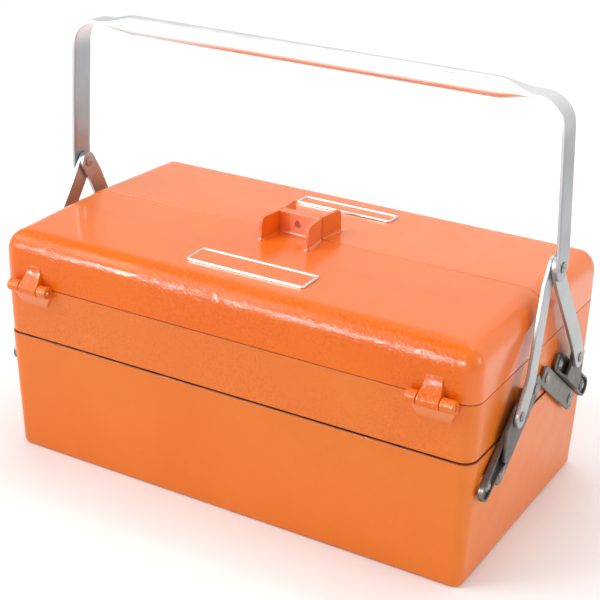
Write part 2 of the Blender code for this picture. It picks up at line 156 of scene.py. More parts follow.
def combine(obj, others, operation):
    """One Boolean per helper, then the helpers go."""
    for i, other in enumerate(others):
        mod = obj.modifiers.new(f"b{i}", "BOOLEAN")
        mod.operation = operation
        mod.solver = "EXACT"
        mod.object = other
    bake(obj)
    for other in others:
        bpy.data.objects.remove(other)
    return obj


def finish_piece(obj, mat, angle=32.0):
    mesh = obj.data
    bm = bmesh.new()
    bm.from_mesh(mesh)
    bmesh.ops.remove_doubles(bm, verts=bm.verts, dist=2e-6)
    bmesh.ops.dissolve_degenerate(bm, edges=bm.edges, dist=1e-6)
    bm.to_mesh(mesh)
    bm.free()
    mesh.materials.clear()
    mesh.materials.append(mat)
    mesh.shade_smooth()
    mesh.set_sharp_from_angle(angle=math.radians(angle))
    weighted = obj.modifiers.new("weighted", "WEIGHTED_NORMAL")
    weighted.keep_sharp = True
    weighted.weight = 60
    return obj


def place(obj, mat, body, nodes, angle=32.0):
    finish_piece(obj, mat, angle)
    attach(obj, body)
    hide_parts(*nodes)
    return obj


def prism(name, polygon, a0, a1, axis=0):
    def put(a, p):
        return (a, p[0], p[1]) if axis == 0 else ((p[0], a, p[1]) if axis == 1 else (p[0], p[1], a))
    return raw_mesh(name, *loft([[put(a0, p) for p in polygon], [put(a1, p) for p in polygon]]))


def circle(cx, cy, r, n):
    return [(cx + r * math.cos(2 * math.pi * i / n), cy + r * math.sin(2 * math.pi * i / n)) for i in range(n)]


def cyl(name, cy, cz, r, x0, x1, n=32):
    return prism(name, circle(cy, cz, r, n), x0, x1)


def outline(x0, x1, y0, y1, radii, segs):
    corners = ((x1, y1, 0), (x0, y1, 90), (x0, y0, 180), (x1, y0, 270))
    pts = []
    for (cx, cy, a0), r, n in zip(corners, radii, segs):
        sx = 1 if cx == x1 else -1
        sy = 1 if cy == y1 else -1
        if n == 0:
            pts.append((cx, cy))
            continue
        for i in range(n + 1):
            a = math.radians(a0 + 90 * i / n)
            pts.append((cx - sx * r + r * math.cos(a), cy - sy * r + r * math.sin(a)))
    return pts


SEG = 12


def full_loop(inset, z):
    r = max(CORNER - inset, 3.0)
    a, b = HALF_L - inset, HALF_W - inset
    return [(x, y, z) for x, y in outline(-a, a, -b, b, (r,) * 4, (SEG,) * 4)]


def half_loop(inset, z, split=SPLIT, back=0.0):
    """Front half outline with a small radius at the two corners on the split."""
    r = max(CORNER - inset, 3.0)
    a, b = HALF_L - inset, HALF_W - inset
    k = max(0.9 - back, 0.25)
    pts = outline(-a, a, -b, -split, (k, k, r, r), (3, 3, SEG, SEG))
    return [(x, y, z(y) if callable(z) else z) for x, y in pts]


def turn_about(obj):
    obj.data.transform(Matrix.Rotation(math.pi, 4, "Z"))
    return obj


def arc(cy, cz, r, a0, a1, n):
    return [(cy + r * math.cos(math.radians(a0 + (a1 - a0) * i / n)), cz + r * math.sin(math.radians(a0 + (a1 - a0) * i / n))) for i in range(n + 1)]


# ---------------------------------------------------------------- materials

class Nodes:
    """A few words for building a node tree."""

    def __init__(self, name):
        self.mat = bpy.data.materials.new(name)
        self.mat.use_nodes = True
        self.tree = self.mat.node_tree
        self.shader = self.tree.nodes["Principled BSDF"]
        self.coord = self.tree.nodes.new("ShaderNodeTexCoord")

    def add(self, kind, **values):
        node = self.tree.nodes.new(kind)
        for key, value in values.items():
            if hasattr(node, key):
                setattr(node, key, value)
            else:
                node.inputs[key.replace("_", " ")].default_value = value
        return node

    def link(self, a, b):
        self.tree.links.new(a, b)

    def mapping(self, scale=(1, 1, 1), rotation=(0, 0, 0)):
        node = self.tree.nodes.new("ShaderNodeMapping")
        node.inputs["Scale"].default_value = scale
        node.inputs["Rotation"].default_value = rotation
        self.link(self.coord.outputs["Object"], node.inputs["Vector"])
        return node.outputs["Vector"]

    def noise(self, scale, detail=3.0, rough=0.55, vector=None, distortion=0.0):
        node = self.tree.nodes.new("ShaderNodeTexNoise")
        node.inputs["Scale"].default_value = scale
        node.inputs["Detail"].default_value = detail
        node.inputs["Roughness"].default_value = rough
        node.inputs["Distortion"].default_value = distortion
        self.link(vector if vector is not None else self.coord.outputs["Object"], node.inputs["Vector"])
        return node.outputs["Fac"]

    def voronoi(self, scale, vector=None, feature="SMOOTH_F1"):
        node = self.tree.nodes.new("ShaderNodeTexVoronoi")
        node.feature = feature
        node.inputs["Scale"].default_value = scale
        if feature == "SMOOTH_F1":
            node.inputs["Smoothness"].default_value = 0.55
        self.link(vector if vector is not None else self.coord.outputs["Object"], node.inputs["Vector"])
        return node.outputs["Distance"]

    def ramp(self, fac, stops):
        node = self.tree.nodes.new("ShaderNodeValToRGB")
        while len(node.color_ramp.elements) < len(stops):
            node.color_ramp.elements.new(0.5)
        for element, (pos, value) in zip(node.color_ramp.elements, stops):
            element.position = pos
            element.color = (value, value, value, 1) if isinstance(value, (int, float)) else (*value, 1)
        self.link(fac, node.inputs["Fac"])
        return node.outputs["Color"]

    def math(self, op, a, b=None, clamp=False):
        node = self.tree.nodes.new("ShaderNodeMath")
        node.operation = op
        node.use_clamp = clamp
        for i, value in enumerate((a, b)):
            if value is None:
                continue
            if isinstance(value, (int, float)):
                node.inputs[i].default_value = value
            else:
                self.link(value, node.inputs[i])
        return node.outputs[0]

    def span(self, value, a, b, c=0.0, d=1.0, smooth=True):
        node = self.tree.nodes.new("ShaderNodeMapRange")
        node.interpolation_type = "SMOOTHSTEP" if smooth else "LINEAR"
        node.inputs["From Min"].default_value = a
        node.inputs["From Max"].default_value = b
        node.inputs["To Min"].default_value = c
        node.inputs["To Max"].default_value = d
        self.link(value, node.inputs["Value"])
        return node.outputs["Result"]

    def mix(self, fac, a, b):
        node = self.tree.nodes.new("ShaderNodeMix")
        node.data_type = "RGBA"
        for value, socket in ((fac, node.inputs["Factor"]), (a, node.inputs["A"]), (b, node.inputs["B"])):
            if isinstance(value, (int, float)):
                socket.default_value = value
            elif isinstance(value, tuple):
                socket.default_value = (*value, 1)
            else:
                self.link(value, socket)
        return node.outputs["Result"]

    def bump(self, height, distance, strength=1.0, normal=None):
        node = self.tree.nodes.new("ShaderNodeBump")
        node.inputs["Distance"].default_value = distance
        node.inputs["Strength"].default_value = strength
        self.link(height, node.inputs["Height"])
        if normal is not None:
            self.link(normal, node.inputs["Normal"])
        return node.outputs["Normal"]


def paint(name, colour, face, grain, specular, coat):
    """Enamel over a casting. face is the sign of Y of the long outer face that carries the leather grain."""
    n = Nodes(name)
    s = n.shader
    def shade(r, g, b):
        return (colour[0] * r, colour[1] * g, colour[2] * b)
    xyz = n.tree.nodes.new("ShaderNodeSeparateXYZ")
    n.link(n.coord.outputs["Normal"], xyz.inputs[0])
    pos = n.tree.nodes.new("ShaderNodeSeparateXYZ")
    n.link(n.coord.outputs["Object"], pos.inputs[0])
    out = n.math("MULTIPLY", xyz.outputs["Y"], float(face)) if face else n.math("ABSOLUTE", xyz.outputs["Y"])
    mask = n.span(out, 0.06, 0.40)
    # the grain thins out towards the ends, and under the brackets it is rubbed smooth; the bracket mask also carries a
    # painted reflection further down
    ends = n.span(n.math("ABSOLUTE", pos.outputs["X"]), 0.196, 0.212, 1.0, 0.25)
    mask = n.math("MULTIPLY", mask, ends)
    across = n.math("ABSOLUTE", pos.outputs["Y"])
    bracket = n.math("MULTIPLY", n.span(across, 0.1203, 0.1208), n.span(pos.outputs["Z"], 0.1500, 0.1512, 1.0, 0.0))
    mask = n.math("MULTIPLY", mask, n.math("SUBTRACT", 1.0, bracket))
    mask = n.math("MULTIPLY", mask, n.span(pos.outputs["Z"], 0.1990, 0.2015, 1.0, 0.12))
    broad = n.noise(7.0, 3.0, 0.5)
    fine = n.noise(60.0, 4.0, 0.6)
    tone = n.mix(n.span(broad, 0.35, 0.65), shade(0.965, 0.93, 0.9), shade(1.0, 1.05, 1.2))
    tone = n.mix(n.span(fine, 0.25, 0.8, 0.0, 0.35), tone, shade(0.92, 0.87, 0.8))
    # leather grain: soft cells broken up by noise, between one and two millimetres across
    warp = n.tree.nodes.new("ShaderNodeVectorMath")
    warp.operation = "MULTIPLY_ADD"
    jitter = n.tree.nodes.new("ShaderNodeTexNoise")
    jitter.inputs["Scale"].default_value = 420.0
    jitter.inputs["Detail"].default_value = 2.0
    n.link(n.coord.outputs["Object"], jitter.inputs["Vector"])
    n.link(jitter.outputs["Color"], warp.inputs[0])
    warp.inputs[1].default_value = (0.0018, 0.0018, 0.0018)
    n.link(n.coord.outputs["Object"], warp.inputs[2])
    cells = n.voronoi(540.0, warp.outputs["Vector"])
    pebbles = n.span(cells, 0.10, 0.70, 1.0, 0.0)
    blotch = n.noise(1000.0, 2.0, 0.6)
    height = n.math("ADD", n.math("MULTIPLY", pebbles, 0.8), n.math("MULTIPLY", blotch, 0.5))
    patch = n.span(n.noise(11.0, 2.0, 0.5), 0.34, 0.60, 0.35, 1.0)
    grained = n.math("MULTIPLY", n.math("MULTIPLY", height, mask), patch)
    peel = n.noise(230.0, 2.0, 0.5)
    sand = n.noise(1500.0, 2.0, 0.6)
    wave = n.noise(22.0, 1.0, 0.4)
    normal = n.bump(wave, 0.0012, 0.16)
    normal = n.bump(peel, 0.00030, 0.20, normal)
    normal = n.bump(sand, 0.00008, 0.30, normal)
    normal = n.bump(grained, 0.00040, 0.60 * grain, normal)
    n.link(normal, s.inputs["Normal"])
    n.link(normal, s.inputs["Coat Normal"])
    # painted shade: the creases of the grain are given a slightly deeper colour
    crease_shade = n.math("MULTIPLY", n.math("MULTIPLY", n.span(cells, 0.30, 0.85), n.math("MULTIPLY", mask, patch)), 0.55 * grain)
    tone = n.mix(crease_shade, tone, shade(0.84, 0.62, 0.45))
    # painted reflection: the upper part of the brackets under the hinges is painted paler
    tone = n.mix(n.math("MULTIPLY", bracket, n.span(pos.outputs["Z"], 0.1370, 0.1450, 0.0, 0.16)), tone, (0.95, 0.60, 0.42))
    # painted shade along the seam over the base, and a fainter painted shade along the one under the lid, broken up by
    # noise
    low = n.span(n.math("ABSOLUTE", n.math("SUBTRACT", pos.outputs["Z"], 0.10790)), 0.0004, 0.0013, 0.9, 0.0)
    high = n.span(n.math("ABSOLUTE", n.math("SUBTRACT", pos.outputs["Z"], 0.15578)), 0.0002, 0.0009, 0.40, 0.0)
    high = n.math("MULTIPLY", high, n.span(across, 0.1211, 0.1216, 1.0, 0.0))
    shade_breakup = n.span(n.noise(90.0, 3.0, 0.6), 0.3, 0.7, 0.8, 1.0)
    seam_shade = n.math("MULTIPLY", n.math("MAXIMUM", low, high), shade_breakup)
    tone = n.mix(seam_shade, tone, (0.045, 0.008, 0.004))
    n.link(tone, s.inputs["Base Color"])
    smudge = n.noise(34.0, 4.0, 0.6, distortion=0.6)
    rough = n.math("ADD", n.span(smudge, 0.3, 0.7, 0.30, 0.38), n.math("MULTIPLY", mask, 0.02))
    n.link(rough, s.inputs["Roughness"])
    s.inputs["Metallic"].default_value = 0.0
    # the moulded grain is flatter in sheen than the smooth faces
    n.link(n.span(mask, 0.0, 1.0, specular, specular * 0.12 if grain > 0.9 else specular * 0.7), s.inputs["Specular IOR Level"])
    n.link(n.span(mask, 0.0, 1.0, coat, coat * 0.8), s.inputs["Coat Weight"])
    s.inputs["Coat Roughness"].default_value = 0.09
    return n.mat


def brushed(name, colour, roughness, along="Y", tilt=0.0, metallic=1.0, streak=0.12, grip=False):
    """Bare metal with fine drawing lines. along names the axis the lines keep constant across."""
    n = Nodes(name)
    s = n.shader
    scale = {"Y": (10.0, 900.0, 10.0), "Z": (10.0, 10.0, 900.0), "X": (900.0, 10.0, 10.0)}[along]
    lines = n.noise(1.0, 3.0, 0.6, n.mapping(scale, (tilt, 0, 0)))
    cloud = n.noise(28.0, 4.0, 0.6)
    specks = n.noise(700.0, 2.0, 0.5)
    dark = tuple(c * (1.0 - streak) for c in colour)
    tone = n.mix(n.span(lines, 0.3, 0.7), dark, colour)
    tone = n.mix(n.span(cloud, 0.35, 0.75, 0.0, 0.5), tone, tuple(c * 0.86 for c in colour))
    if grip:
        # painted highlight: the round grip is painted paler than the flat legs
        height = n.tree.nodes.new("ShaderNodeSeparateXYZ")
        n.link(n.coord.outputs["Object"], height.inputs[0])
        tone = n.mix(n.span(height.outputs["Z"], 0.322, 0.350, 0.0, 0.9), tone, (0.86, 0.862, 0.866))
    n.link(tone, s.inputs["Base Color"])
    rough = n.math("ADD", n.span(cloud, 0.3, 0.7, roughness - 0.04, roughness + 0.06), n.math("MULTIPLY", n.span(lines, 0.2, 0.8), 0.05))
    n.link(rough, s.inputs["Roughness"])
    normal = n.bump(lines, 0.00006, 0.22)
    normal = n.bump(specks, 0.00005, 0.25, normal)
    n.link(normal, s.inputs["Normal"])
    s.inputs["Metallic"].default_value = metallic
    return n.mat


def plated(name, colour, roughness, mottle=0.25):
    """Zinc-plated steel with spangle, darker stains and small scuffs."""
    n = Nodes(name)
    s = n.shader
    spangle = n.voronoi(240.0, feature="F1")
    stain = n.noise(75.0, 5.0, 0.65, distortion=0.8)
    grit = n.noise(1300.0, 2.0, 0.6)
    tone = n.mix(n.span(spangle, 0.1, 0.8, 0.0, 0.55), colour, tuple(c * (1 - mottle) for c in colour))
    tone = n.mix(n.span(stain, 0.52, 0.72, 0.0, 0.5), tone, tuple(c * 0.55 for c in colour))
    n.link(tone, s.inputs["Base Color"])
    n.link(n.span(stain, 0.3, 0.75, roughness, roughness + 0.16), s.inputs["Roughness"])
    normal = n.bump(stain, 0.00010, 0.3)
    normal = n.bump(grit, 0.00005, 0.35, normal)
    n.link(normal, s.inputs["Normal"])
    s.inputs["Metallic"].default_value = 0.9
    return n.mat


paint_base = paint("enamel_base", (0.85, 0.192, 0.012), 0, 0.10, 0.34, 0.20)
paint_tray = {-1: paint("enamel_front_tray", (0.86, 0.190, 0.012), -1, 0.75, 0.36, 0.25), 1: paint("enamel_rear_tray", (0.86, 0.190, 0.012), 1, 0.75, 0.36, 0.25)}
paint_lid = {-1: paint("enamel_front_lid", (0.92, 0.172, 0.001), -1, 1.0, 0.60, 0.55), 1: paint("enamel_rear_lid", (0.90, 0.180, 0.004), 1, 1.0, 0.50, 0.55)}
alu_handle = brushed("satin_aluminium_handle", (0.41, 0.425, 0.44), 0.34, "Y", grip=True)
_tilt = math.atan2(EAR_PIVOT[0], PIVOT_Z - EAR_PIVOT[1])
alu_strap = {-1: brushed("satin_aluminium_strap_front", (0.52, 0.53, 0.535), 0.36, "Y", -_tilt),
             1: brushed("satin_aluminium_strap_rear", (0.52, 0.53, 0.535), 0.36, "Y", _tilt)}
zinc = plated("dark_zinc_steel", (0.17, 0.160, 0.150), 0.36)
zinc_light = plated("zinc_steel", (0.24, 0.225, 0.210), 0.36)
rivet_mat = plated("rivet_steel", (0.42, 0.41, 0.395), 0.28, 0.15)
pin_mat = brushed("pin_steel", (0.62, 0.62, 0.61), 0.25, "X")
badge_mat = brushed("badge_aluminium", (0.86, 0.86, 0.85), 0.30, "X")


# ---------------------------------------------------------------- painted shells

def boss(name, cy, cz, r, x_wall, x_pad, s):
    """Round pad cast on an end wall under a link, with a small fillet at its foot."""
    prof = [(x_wall - 3.0, 0), (x_wall - 3.0, r + 1.4), (x_wall - 0.2, r + 1.4), (x_wall + 0.4, r + 0.5), (x_pad - 0.3, r + 0.1), (x_pad, r - 0.3), (x_pad, 0)]
    return lathe(name, prof, cy, cz, s, 40)


def lathe(name, profile, cy, cz, s, n=32):
    verts, faces, rings = [], [], []
    for x, r in profile:
        if r == 0:
            rings.append([len(verts)])
            verts.append((s * x, cy, cz))
        else:
            rings.append(list(range(len(verts), len(verts) + n)))
            verts += [(s * x, cy + r * math.cos(2 * math.pi * i / n), cz + r * math.sin(2 * math.pi * i / n)) for i in range(n)]
    for a, b in zip(rings, rings[1:]):
        for i in range(n):
            j = (i + 1) % n
            if len(a) == 1:
                faces.append((a[0], b[i], b[j]))
            elif len(b) == 1:
                faces.append((a[j], a[i], b[0]))
            else:
                faces.append((a[i], a[j], b[j], b[i]))
    return raw_mesh(name, verts, faces)


def make_base():
    k = BASE_DRAFT / BASE_TOP
    def out(z):
        return 0.4 + (BASE_TOP - z) * k
    loops = []
    r = 3.0
    for t in range(0, 91, 15):
        a = math.radians(t)
        z = r - r * math.cos(a)
        loops.append(full_loop(out(z) + r - r * math.sin(a), z))
    for h in (0.25, 0.5, 0.75):
        loops.append(full_loop(out(BASE_TOP * h), BASE_TOP * h))
    e = 0.9
    for t in (0, 30, 60, 90):
        a = math.radians(t)
        z = BASE_TOP - e + e * math.sin(a)
        loops.append(full_loop(out(z) + e - e * math.cos(a), z))
    for t in (90, 45, 0):
        a = math.radians(t)
        z = BASE_TOP - 0.6 + 0.6 * math.sin(a)
        loops.append(full_loop(out(z) + BASE_WALL - 0.6 + 0.6 * math.cos(a), z))
    ri = 5.0
    for t in range(0, 91, 15):
        a = math.radians(t)
        z = BASE_FLOOR + ri - ri * math.sin(a)
        loops.append(full_loop(out(z) + BASE_WALL + ri - ri * math.cos(a), z))
    obj = raw_mesh("base_shell", *loft(loops))
    pads, holes = [], []
    for s in (1, -1):
        for q in (1, -1):
            for y, z in (CRANK_LOW, PLAIN_LOW):
                wall = HALF_L - out(z)
                pads.append(boss("pad", q * y, z, 7.2, wall, PAD_X, s))
                holes.append(cyl("hole", q * y, z, HOLE_R, s * 205.0, s * 219.0, 24))
    combine(obj, pads, "UNION")
    combine(obj, holes, "DIFFERENCE")
    place(obj, paint_base, "base", ["base"])


def link_up(low):
    return (low[0] - LINK[0], low[1] + LINK[1])


def barrel(name, x0, x1, s, outer):
    """Hinge barrel with rounded rims; the counterbore where the pin's end shows is cut in make_tray."""
    rim = 0.7
    prof = []
    if outer:
        prof = [(x0, 0), (x0, BARREL_R - rim), (x0 + 0.2, BARREL_R - 0.2), (x0 + rim, BARREL_R), (x1 - rim, BARREL_R), (x1 - 0.2, BARREL_R - 0.2), (x1, BARREL_R - rim), (x1, 0)]
    else:
        prof = [(x0, 0), (x0, BARREL_R - rim), (x0 + 0.2, BARREL_R - 0.2), (x0 + rim, BARREL_R), (x1 - rim, BARREL_R), (x1 - 0.2, BARREL_R - 0.2), (x1, BARREL_R - rim), (x1, 0)]
    return lathe(name, prof, -HINGE_Y, HINGE_Z, s, 40)


def rib(name, x0, x1, s):
    """Block that carries one barrel on the bracket below it."""
    poly = [(-117.6, 149.0), (-124.4, 149.0), (-129.6, 152.6), (-129.9, 153.6), (-126.2, 155.6), (-120.5, 156.0 - 0.6), (-117.6, 155.4)]
    return prism(name, poly, s * x0, s * x1)


def corbel(name, s):
    """Smooth bracket under the hinge: as wide as the barrels on top, drawn in by hollow sides, and dying into the wall."""
    loops = []
    steps = 14
    for i in range(steps + 1):
        t = i / steps
        z = 149.3 - t * 15.0
        ease = (1 - t) ** 2.0
        depth = 119.35 + 5.2 * (1 - t) ** 1.25
        left = BARREL_IN[0] + 0.5 + (1 - ease) * 6.0
        right = BARREL_OUT[1] - 0.5 - (1 - ease) * 5.0
        e = min(1.0, max(0.15, depth - 119.4))
        loops.append([(s * left, -117.6, z), (s * left, -(depth - e), z), (s * (left + 0.3 * e), -(depth - 0.3 * e), z), (s * (left + e), -depth, z), (s * (right - e), -depth, z), (s * (right - 0.3 * e), -(depth - 0.3 * e), z), (s * right, -(depth - e), z), (s * right, -117.6, z)])
    return raw_mesh(name, *loft(loops))


def make_tray(word, rear):
    k = TRAY_DRAFT / (TRAY_TOP - TRAY_BOTTOM)
    def out(z):
        return (TRAY_TOP - z) * k
    loops = []
    r = 1.5
    for t in (0, 30, 60, 90):
        a = math.radians(t)
        z = TRAY_BOTTOM + r - r * math.cos(a)
        loops.append(half_loop(out(z) + r - r * math.sin(a), z))
    loops.append(half_loop(out(130.0), 130.0))
    e = 0.5
    for t in (0, 45, 90):
        a = math.radians(t)
        z = TRAY_TOP - e + e * math.sin(a)
        loops.append(half_loop(out(z) + e - e * math.cos(a), z))
    for t in (90, 45, 0):
        a = math.radians(t)
        z = TRAY_TOP - 0.5 + 0.5 * math.sin(a)
        loops.append(half_loop(out(z) + TRAY_WALL - 0.5 + 0.5 * math.cos(a), z, SPLIT + TRAY_WALL - 0.5 + 0.5 * math.cos(a), 0.5))
    ri = 4.0
    for t in range(0, 91, 15):
        a = math.radians(t)
        z = TRAY_BOTTOM + 2.8 + ri - ri * math.sin(a)
        d = ri - ri * math.cos(a)
        loops.append(half_loop(out(z) + TRAY_WALL + d, z, SPLIT + TRAY_WALL + d, 0.6))
    obj = raw_mesh(word + "_tray_shell", *loft(loops))
    pads, holes, parts, bores = [], [], [], []
    for s in (1, -1):
        for low in (CRANK_LOW, PLAIN_LOW):
            y, z = link_up(low)
            pads.append(boss("pad", -y, z, 7.2, HALF_L - out(z), PAD_X, s))
            holes.append(cyl("hole", -y, z, HOLE_R, s * 205.0, s * 219.0, 24))
        for (x0, x1), outer in ((BARREL_IN, False), (BARREL_OUT, True)):
            parts.append(rib("rib", x0 + 0.3, x1 - 0.3, s))
            parts.append(barrel("barrel", x0, x1, s, outer))
        parts.append(corbel("corbel", s))
        bores.append(cyl("bore", -HINGE_Y, HINGE_Z, PIN_R + 0.25, s * 160.0, s * 205.0, 32))
        bores.append(lathe("sink", [(BARREL_OUT[1] - 0.9, 0), (BARREL_OUT[1] - 0.9, PIN_R + 0.25), (BARREL_OUT[1] + 0.4, PIN_R + 1.3), (BARREL_OUT[1] + 0.4, 0)], -HINGE_Y, HINGE_Z, s, 32))
    combine(obj, pads + parts, "UNION")
    combine(obj, holes + bores, "DIFFERENCE")
    if rear:
        turn_about(obj)
    place(obj, paint_tray[1 if rear else -1], word + "_tray", [word + "_tray"])
    q = 1 if rear else -1
    for s, side in ((1, "right"), (-1, "left")):
        prof = [(162.4, 0), (162.4, PIN_R - 0.5), (162.9, PIN_R), (200.9, PIN_R), (201.3, PIN_R - 0.5), (201.4, 0)]
        pin = lathe(f"pin_{word}_{side}", prof, q * HINGE_Y, HINGE_Z, s, 32)
        place(pin, pin_mat, word + "_tray", [f"hinge_pin_{word}_{side}"], 50)


def knuckle(name, s):
    """Leaf that runs down the lid's face in a hollow curve and wraps the pin, a little narrower at its upper end."""
    r = KNUCKLE_R
    low = arc(-HINGE_Y, HINGE_Z, r, 9, -192, 24)
    ramp = []
    a, b, c, d = Vector(low[-1]), Vector((-130.6, 160.2)), Vector((-122.2, 161.8)), Vector((-120.45, 173.6))
    for i in range(1, 17):
        t = i / 16
        p = a * (1 - t) ** 3 + b * 3 * t * (1 - t) ** 2 + c * 3 * t * t * (1 - t) + d * t ** 3
        ramp.append((p.x, p.y))
    poly = [(-117.6, LID_BOTTOM + 0.35)] + low + ramp + [(-117.6, 173.8)]
    def squeeze(z):
        return 1.9 * smooth((z - HINGE_Z - 2.5) / 12.0)
    rows = [[(s * (x + d * squeeze(z)), y, z) for y, z in poly] for x, d in ((KNUCKLE[0], 1), (KNUCKLE[1], -1))]
    obj = raw_mesh(name, *loft(rows))
    return bake(bevel(obj, 0.7, 3, 60))


def hasp(name_mat=None):
    """Wall along the split, and two cheeks, each with a hollow fillet at its foot. Front half."""
    foot = LID_EDGE_TOP + LID_CROWN
    top = lid_hi[2]
    def flare(h):
        """Extra half thickness at a height above the lid."""
        r = 2.2
        return 0.0 if h >= r else r - math.sqrt(max(0.0, r * r - (r - h) ** 2))
    heights = [-2.5, 0.0, 0.2, 0.5, 0.9, 1.4, 2.2]
    e = 0.5
    parts = []
    def splay(y):
        """The cheeks open outwards away from the wall."""
        return 2.9 * max(0.0, -y - 2.5) / 25.0
    # wall: loops in z, outline in x and y
    loops = []
    for h in heights:
        f = flare(max(h, 0.0))
        loops.append([(x, y, foot + h) for x, y in outline(-20.2, 20.2, -4.0 - f, -0.6, (0.5, 0.5, 0.3, 0.3), (3, 3, 2, 2))])
    zt = top - foot
    for t in (0, 30, 60, 90):
        a = math.radians(t)
        d = e - e * math.cos(a)
        loops.append([(x, y, top - e + e * math.sin(a)) for x, y in outline(-20.2 + d, 20.2 - d, -4.0 + d, -0.6 - d, (0.5, 0.5, 0.3, 0.3), (3, 3, 2, 2))])
    parts.append(raw_mesh("hasp_wall", *loft(loops)))
    assert zt > 0
    for s in (1, -1):
        # cheek profile in (y, z), with a rounded upper outer corner, made of slices across its thickness
        def profile(grow):
            pts = [(-0.6 - grow * 0, foot - 2.5), (-0.6, top - grow)]
            pts += arc(-22.4 + 0, top - 4.8, 4.8 - grow, 90, 155, 7)
            pts += [(-27.4 + grow, top - 9.0), (-27.6 + grow, foot + 2.2)]
            for h in (1.4, 0.9, 0.5, 0.2, -0.6):
                pts.append((-27.6 + grow - flare(max(h, 0.0)) * 0.6, foot + h - 0.5))
            pts.append((-28.6 + grow, foot - 3.2))
            return pts
        xin, xout = 17.2, 20.2
        loops = []
        for x, g in ((xin, 0.5), (xin + 0.15, 0.15), (xin + 0.5, 0.0), (xout - 0.5, 0.0), (xout - 0.15, 0.15), (xout, 0.5)):
            loops.append([(s * (x + splay(y)), y, z) for y, z in profile(g)])
        parts.append(raw_mesh("hasp_cheek", *loft(loops)))
        # fillet strips on both sides of the cheek
        for x, d in ((xin, -1), (xout, 1)):
            strip = [(s * (x - d * 0.8), foot - 2.4), (s * (x + d * 2.2), foot - 2.4), (s * (x + d * 2.2), foot - 0.35)]
            for i in range(7):
                a = math.radians(270 - 90 * i / 6) if d > 0 else math.radians(270 + 90 * i / 6)
                strip.append((s * (x + d * 2.2 + 2.2 * math.cos(a)), foot - 0.35 + 2.2 + 2.2 * math.sin(a)))
            strip.append((s * (x - d * 0.8), foot - 0.35 + 2.2))
            rows = []
            for y in (-26.8, -21.0, -15.0, -9.0, -4.0, -1.2):
                rows.append([(a + s * splay(y), y, b) for a, b in strip])
            parts.append(raw_mesh("hasp_fillet", *loft(rows)))
    return parts


def make_lid(word, rear):
    slope = LID_CROWN / HALF_W
    def top(y):
        return LID_EDGE_TOP + LID_CROWN + slope * y
    loops = []
    e = 0.5
    for t in (90, 45, 0):
        a = math.radians(t)
        loops.append(half_loop(e - e * math.cos(a), LID_BOTTOM + e - e * math.sin(a)))
    steps = 14
    for i in range(steps + 1):
        a = math.radians(90 * i / steps)
        drop = LID_ROUND - LID_ROUND * math.sin(a)
        # the split side keeps only a small rounding along its top edge
        edge = max(0.0, 0.9 - drop)
        rise = 0.9 - math.sqrt(max(0.0, 0.81 - edge * edge))
        loops.append(half_loop(LID_ROUND - LID_ROUND * math.cos(a), lambda y, d=drop: top(y) - d, SPLIT + rise))
    ri = LID_ROUND - LID_WALL
    inner = []
    for i in range(9):
        a = math.radians(90 * i / 8)
        drop = LID_WALL + ri - ri * math.sin(a)
        inner.append(half_loop(LID_WALL + ri - ri * math.cos(a), lambda y, d=drop: top(y) - d, SPLIT + LID_WALL, 0.6))
    lip = [half_loop(LID_WALL, LID_BOTTOM + 0.4, SPLIT + LID_WALL, 0.6), half_loop(LID_WALL - 0.4, LID_BOTTOM, SPLIT + LID_WALL - 0.4, 0.5)]
    obj = raw_mesh(word + "_lid_shell", *loft(inner[::-1] + lip + loops))
    combine(obj, [knuckle("leaf", s) for s in (1, -1)] + hasp(), "UNION")
    cuts = [prism("hasp_hole", circle(0.0, 211.5, 3.3, 40), -8.0, 4.0, axis=1)]
    cuts += [cyl("bore", -HINGE_Y, HINGE_Z, PIN_R + 0.25, s * 168.0, s * 195.0, 32) for s in (1, -1)]
    combine(obj, cuts, "DIFFERENCE")
    if rear:
        turn_about(obj)
    place(obj, paint_lid[1 if rear else -1], word + "_lid", [word + "_lid"], 36)


# ---------------------------------------------------------------- links, straps, rivets

def link_map(low, q):
    uy, uz = -LINK[0] / LINK_LEN, LINK[1] / LINK_LEN
    vy, vz = LINK[1] / LINK_LEN, LINK[0] / LINK_LEN
    return lambda u, v: (q * (low[0] + u * uy + v * vy), low[1] + u * uz + v * vz)


def rounded_bar(u0, u1, half, r, seg=8):
    return outline(u0, u1, -half, half, (r,) * 4, (seg,) * 4)


def make_plain_link(word, q, s, side):
    to = link_map(PLAIN_LOW, q)
    obj = prism(f"plain_link_{word}_{side}_plate", [to(u, v) for u, v in rounded_bar(-9.5, LINK_LEN + 10.5, PLAIN_HALF, 5.5)], s * LINK_X[0], s * LINK_X[1])
    bake(bevel(obj, 0.55, 3, 50))
    up = link_up(PLAIN_LOW)
    cuts = [cyl("hole", q * y, z, HOLE_R, s * 214.0, s * 220.0, 24) for y, z in (PLAIN_LOW, up)]
    combine(obj, cuts, "DIFFERENCE")
    name = f"plain_link_{word}_{side}"
    place(obj, zinc_light, name, [name], 40)


